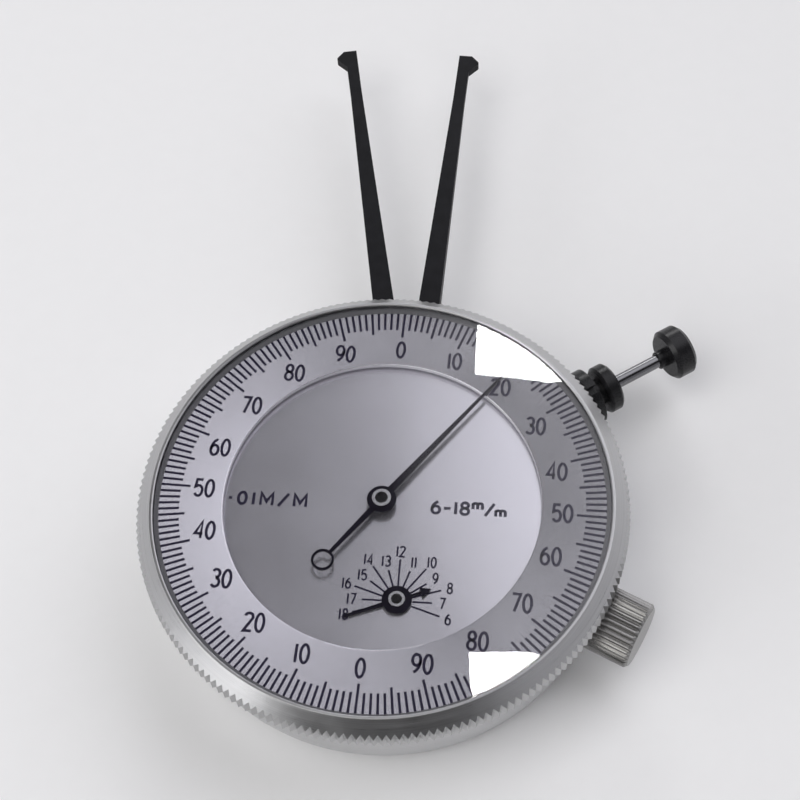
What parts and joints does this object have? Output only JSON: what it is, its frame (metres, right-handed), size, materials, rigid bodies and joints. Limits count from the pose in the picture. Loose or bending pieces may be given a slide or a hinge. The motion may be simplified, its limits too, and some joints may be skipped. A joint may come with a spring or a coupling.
{
  "type": "internal caliper gauge",
  "caption": "Round dial gauge with a fixed and a moving arm whose outward noses touch a hole's wall; a push plunger closes the arms and a geared movement turns the hands.",
  "frame": {"origin": "centre of the flat back face, on the dial axis", "axes": "+Z out of the dial along the dial axis, +Y from the dial towards the arms' noses, +X to the right when the dial is read with the arms up"},
  "size_m": [0.0598, 0.0938, 0.0159],
  "materials": {
    "case_aluminium": "satin turned",
    "bezel_aluminium": "satin turned, fine straight knurl",
    "movement_brass": "fine brushed",
    "bright_steel": "polished",
    "black_oxide": "satin black",
    "dial_silver": "fine matt silver",
    "hand_black": "satin black",
    "hub_nickel": "polished",
    "knob_nickel": "polished flutes",
    "gasket_rubber": "matt",
    "crystal_clear": "clear polished"
  },
  "bodies": {
    "case": {"case_body": "case_aluminium", "back_cover": "case_aluminium", "back_cover_screws": "bright_steel", "lower_plate": "movement_brass", "lower_plate_screws": "bright_steel", "plate_pillars": "movement_brass", "upper_plate": "movement_brass", "upper_plate_screws": "bright_steel", "pivot_pin": "bright_steel", "pivot_bridge": "movement_brass", "bridge_screws": "bright_steel", "fixed_arm": "black_oxide", "stop_pin": "bright_steel", "spring_post": "bright_steel", "return_spring": "bright_steel", "hairspring_stud": "movement_brass", "hairspring": "bright_steel", "dial_feet": "movement_brass", "dial_plate": "dial_silver", "plunger_guide": "black_oxide", "guide_lock_nut": "black_oxide"},
    "moving_arm": {"moving_arm": "black_oxide", "toothed_sector": "movement_brass", "sector_screws": "bright_steel", "spring_pin": "bright_steel", "thrust_pad": "bright_steel"},
    "counter_arbor": {"counter_arbor": "bright_steel", "counter_wheel": "movement_brass", "hairspring_collet": "movement_brass", "counter_hand": "hand_black", "counter_hand_hub": "hub_nickel"},
    "centre_arbor": {"centre_arbor": "bright_steel", "main_hand": "hand_black", "main_hand_hub": "hub_nickel"},
    "plunger": {"plunger_rod": "bright_steel", "plunger_button": "black_oxide", "rod_retainer": "bright_steel"},
    "bezel": {"bezel_ring": "bezel_aluminium", "ring_dial": "dial_silver", "crystal_gasket": "gasket_rubber", "crystal": "crystal_clear", "bezel_wire": "bright_steel"},
    "clamp": {"clamp_knob": "knob_nickel", "clamp_spindle": "bright_steel", "clamp_cam": "bright_steel"}
  },
  "joints": [
    {"name": "arm_pivot", "type": "hinge", "parent": "case", "child": "moving_arm", "pos_m": [-0.00087, 0.02048, 0], "axis": [0, 0, 1], "range_deg": [-15.2, 0], "stiffness_Nm_per_rad": 0.05, "springref_deg": 57.3, "deforming": ["return_spring"]},
    {"name": "counter_turn", "type": "hinge", "parent": "case", "child": "counter_arbor", "pos_m": [0.00241, -0.01105, 0], "axis": [0, 0, 1], "range_deg": [-224.4, 0.5], "deforming": ["hairspring"]},
    {"name": "centre_turn", "type": "hinge", "parent": "case", "child": "centre_arbor", "pos_m": [0, 0, 0], "axis": [0, 0, 1], "range_deg": [-5, 2244.4]},
    {"name": "plunger_slide", "type": "slide", "parent": "case", "child": "plunger", "axis": [-0.829, -0.5592, 0], "range_m": [-0.00002, 0.00404]},
    {"name": "bezel_turn", "type": "hinge", "parent": "case", "child": "bezel", "pos_m": [0, 0, 0], "axis": [0, 0, 1], "continuous": true},
    {"name": "clamp_turn", "type": "hinge", "parent": "case", "child": "clamp", "pos_m": [0.00086, 0.00181, 0.00645], "axis": [0.9026, -0.4305, 0], "range_deg": [-120, 0]}
  ],
  "couplings": [
    {"joint": "counter_turn", "follows": "arm_pivot", "ratio": 14.7},
    {"joint": "centre_turn", "follows": "arm_pivot", "ratio": -147},
    {"joint": "plunger_slide", "follows": "arm_pivot", "m_per_rad": -0.015039}
  ]
}
